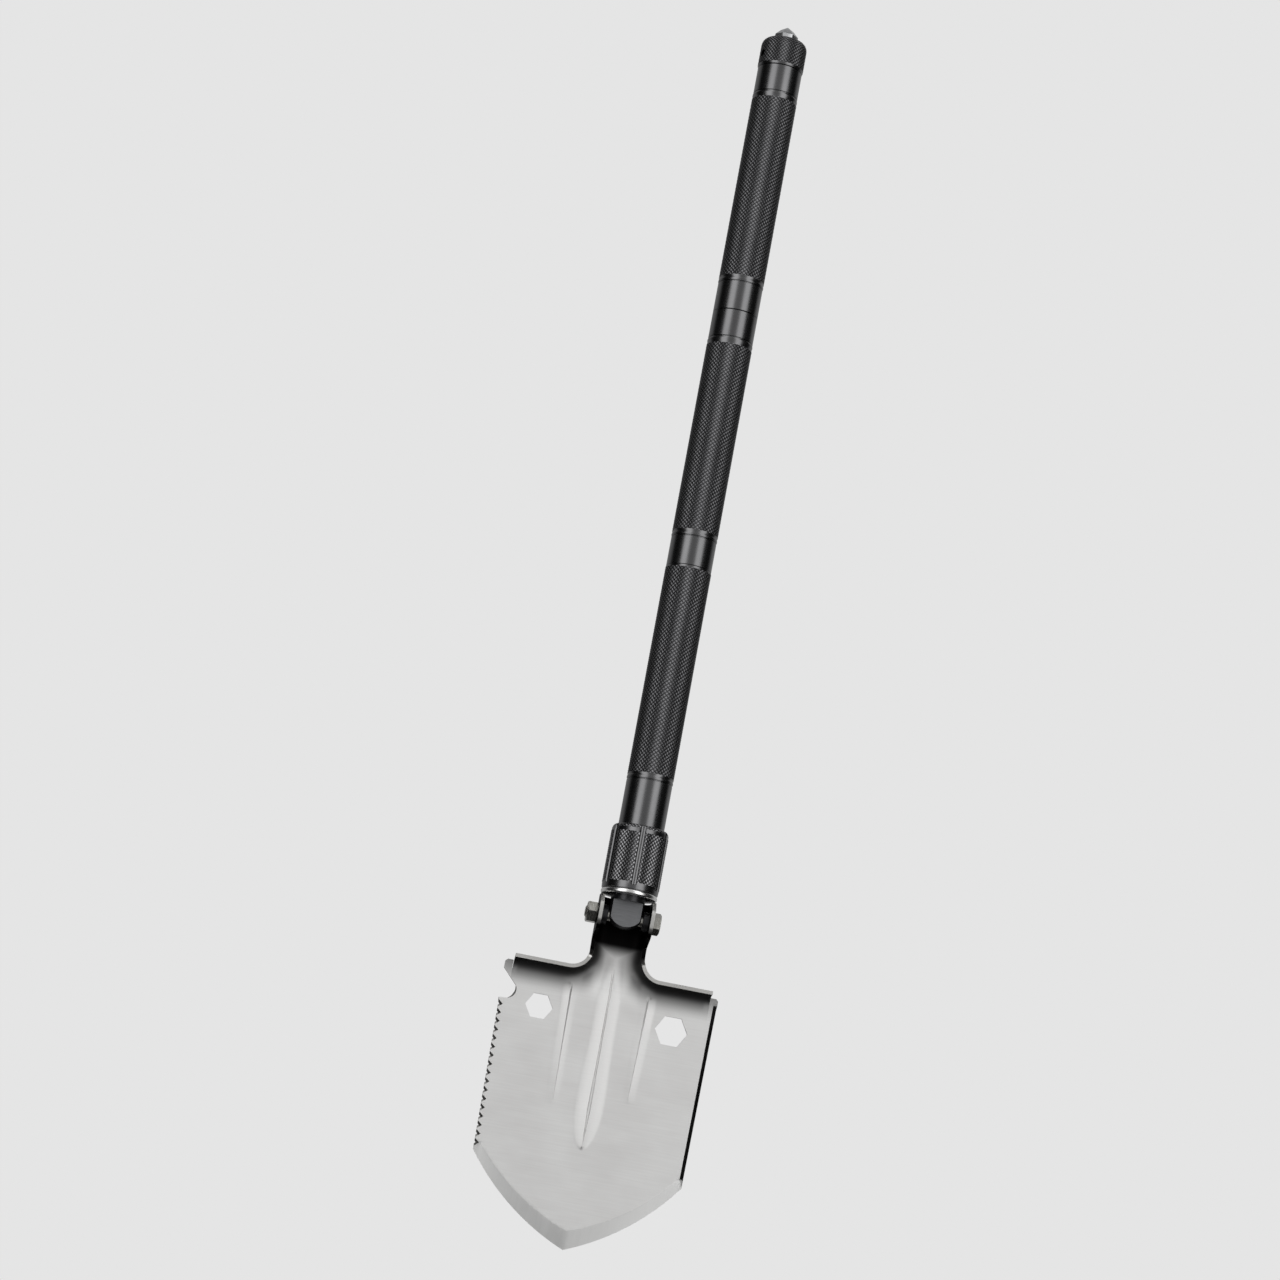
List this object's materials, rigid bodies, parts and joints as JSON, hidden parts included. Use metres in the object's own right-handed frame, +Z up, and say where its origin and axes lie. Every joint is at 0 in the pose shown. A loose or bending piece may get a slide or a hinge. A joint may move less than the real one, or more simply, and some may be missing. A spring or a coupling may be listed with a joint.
{
  "type": "camp shovel",
  "caption": "Folding camp shovel: pointed steel blade with saw edge, knife edge, hook and hex holes, lock collar, and a knurled screw-together tube handle with a glass breaker point.",
  "frame": {"origin": "on the handle axis, in the middle of the bare tube above the lock collar, where a clip or rack holds the tool", "axes": "+Z up along the handle towards the end cap, blade at -Z, the blade's dished face towards -Y, the saw edge at -X and the knife edge at +X"},
  "size_m": [0.144, 0.0388, 0.8587],
  "materials": {
    "anodised_tube": "black anodised aluminium, satin, with fine knurled grips",
    "anodised_cap": "black anodised aluminium, knurled",
    "anodised_collar": "black anodised aluminium, coarse diamond knurl in panels",
    "machined_aluminium": "black anodised aluminium, turned thread",
    "seal_rubber": "black nitrile rubber",
    "hardened_steel": "ground hardened steel",
    "blackened_steel": "black oxide steel",
    "bright_steel": "zinc plated steel",
    "polished_stainless": "polished stainless steel",
    "brushed_stainless": "satin brushed stainless steel, ground edges, black coated neck"
  },
  "bodies": {
    "lower_section": {"lower_tube": "anodised_tube", "joint_shaft": "blackened_steel", "cross_pin": "bright_steel"},
    "blade_assembly": {"blade": "brushed_stainless", "pivot_bolt": "bright_steel", "pivot_nut": "bright_steel", "left_spacer": "bright_steel", "right_spacer": "bright_steel"},
    "thrust_washer": {"thrust_washer": "polished_stainless"},
    "lock_collar": {"lock_collar": "anodised_collar"},
    "lower_seal": {"lower_seal": "seal_rubber"},
    "middle_section": {"middle_tube": "anodised_tube", "middle_coupler": "machined_aluminium"},
    "upper_seal": {"upper_seal": "seal_rubber"},
    "upper_section": {"upper_tube": "anodised_tube", "upper_coupler": "machined_aluminium"},
    "cap_seal": {"cap_seal": "seal_rubber"},
    "end_cap": {"end_cap": "anodised_cap", "breaker_tip": "hardened_steel"}
  },
  "joints": [
    {"name": "blade_fold", "type": "hinge", "parent": "lower_section", "child": "blade_assembly", "pos_m": [0, 0, -0.077], "axis": [-1, 0, 0], "range_deg": [0, 160]},
    {"name": "washer_travel", "type": "slide", "parent": "lower_section", "child": "thrust_washer", "axis": [0, 0, 1], "range_m": [-0.0006, 0.004]},
    {"name": "collar_turn", "type": "hinge", "parent": "thrust_washer", "child": "lock_collar", "pos_m": [0, 0, -0.038], "axis": [0, 0, 1], "range_deg": [-109, 721]},
    {"name": "middle_travel", "type": "slide", "parent": "lower_section", "child": "lower_seal", "axis": [0, 0, 1], "range_m": [0, 0.018]},
    {"name": "middle_turn", "type": "hinge", "parent": "lower_seal", "child": "middle_section", "pos_m": [0, 0, 0.1644], "axis": [0, 0, 1], "range_deg": [-1, 3241]},
    {"name": "upper_travel", "type": "slide", "parent": "middle_section", "child": "upper_seal", "axis": [0, 0, 1], "range_m": [0, 0.018]},
    {"name": "upper_turn", "type": "hinge", "parent": "upper_seal", "child": "upper_section", "pos_m": [0, 0, 0.3471], "axis": [0, 0, 1], "range_deg": [-1, 3241]},
    {"name": "cap_travel", "type": "slide", "parent": "upper_section", "child": "cap_seal", "axis": [0, 0, 1], "range_m": [0, 0.01]},
    {"name": "cap_turn", "type": "hinge", "parent": "cap_seal", "child": "end_cap", "pos_m": [0, 0, 0.5282], "axis": [0, 0, 1], "range_deg": [-1, 1801]}
  ],
  "couplings": [
    {"joint": "collar_turn", "follows": "washer_travel", "rad_per_m": 3141.6},
    {"joint": "middle_turn", "follows": "middle_travel", "rad_per_m": 3141.6},
    {"joint": "upper_turn", "follows": "upper_travel", "rad_per_m": 3141.6},
    {"joint": "cap_turn", "follows": "cap_travel", "rad_per_m": 3141.6}
  ]
}
